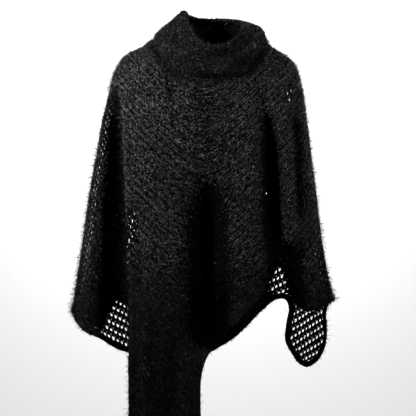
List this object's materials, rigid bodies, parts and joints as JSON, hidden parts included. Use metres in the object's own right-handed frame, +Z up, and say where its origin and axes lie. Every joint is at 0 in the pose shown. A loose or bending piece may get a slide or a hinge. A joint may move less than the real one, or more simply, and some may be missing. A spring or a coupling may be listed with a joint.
{
  "type": "knit poncho",
  "caption": "Open-mesh shaggy knit poncho with a slouched cowl collar, arched side hems, a long front tail on one side and a short back flap, draped as worn",
  "frame": {"origin": "between the shoulders at the foot of the neck, where the garment hangs on its wearer", "axes": "+Z up, the wearer faces -Y, +X is the wearer's left and the right of the picture"},
  "size_m": [0.6294, 0.2908, 1.0774],
  "materials": {
    "front_panel": "black eyelash yarn knitted as an open mesh",
    "back_panel": "black eyelash yarn knitted as an open mesh",
    "cowl_collar": "black eyelash yarn, closer knit",
    "front_hem_border": "black yarn, solid knitted edge",
    "back_hem_border": "black yarn, solid knitted edge"
  },
  "bodies": {
    "root": {"front_panel": "front_panel", "back_panel": "back_panel", "cowl_collar": "cowl_collar", "front_hem_border": "front_hem_border", "back_hem_border": "back_hem_border"}
  },
  "joints": []
}
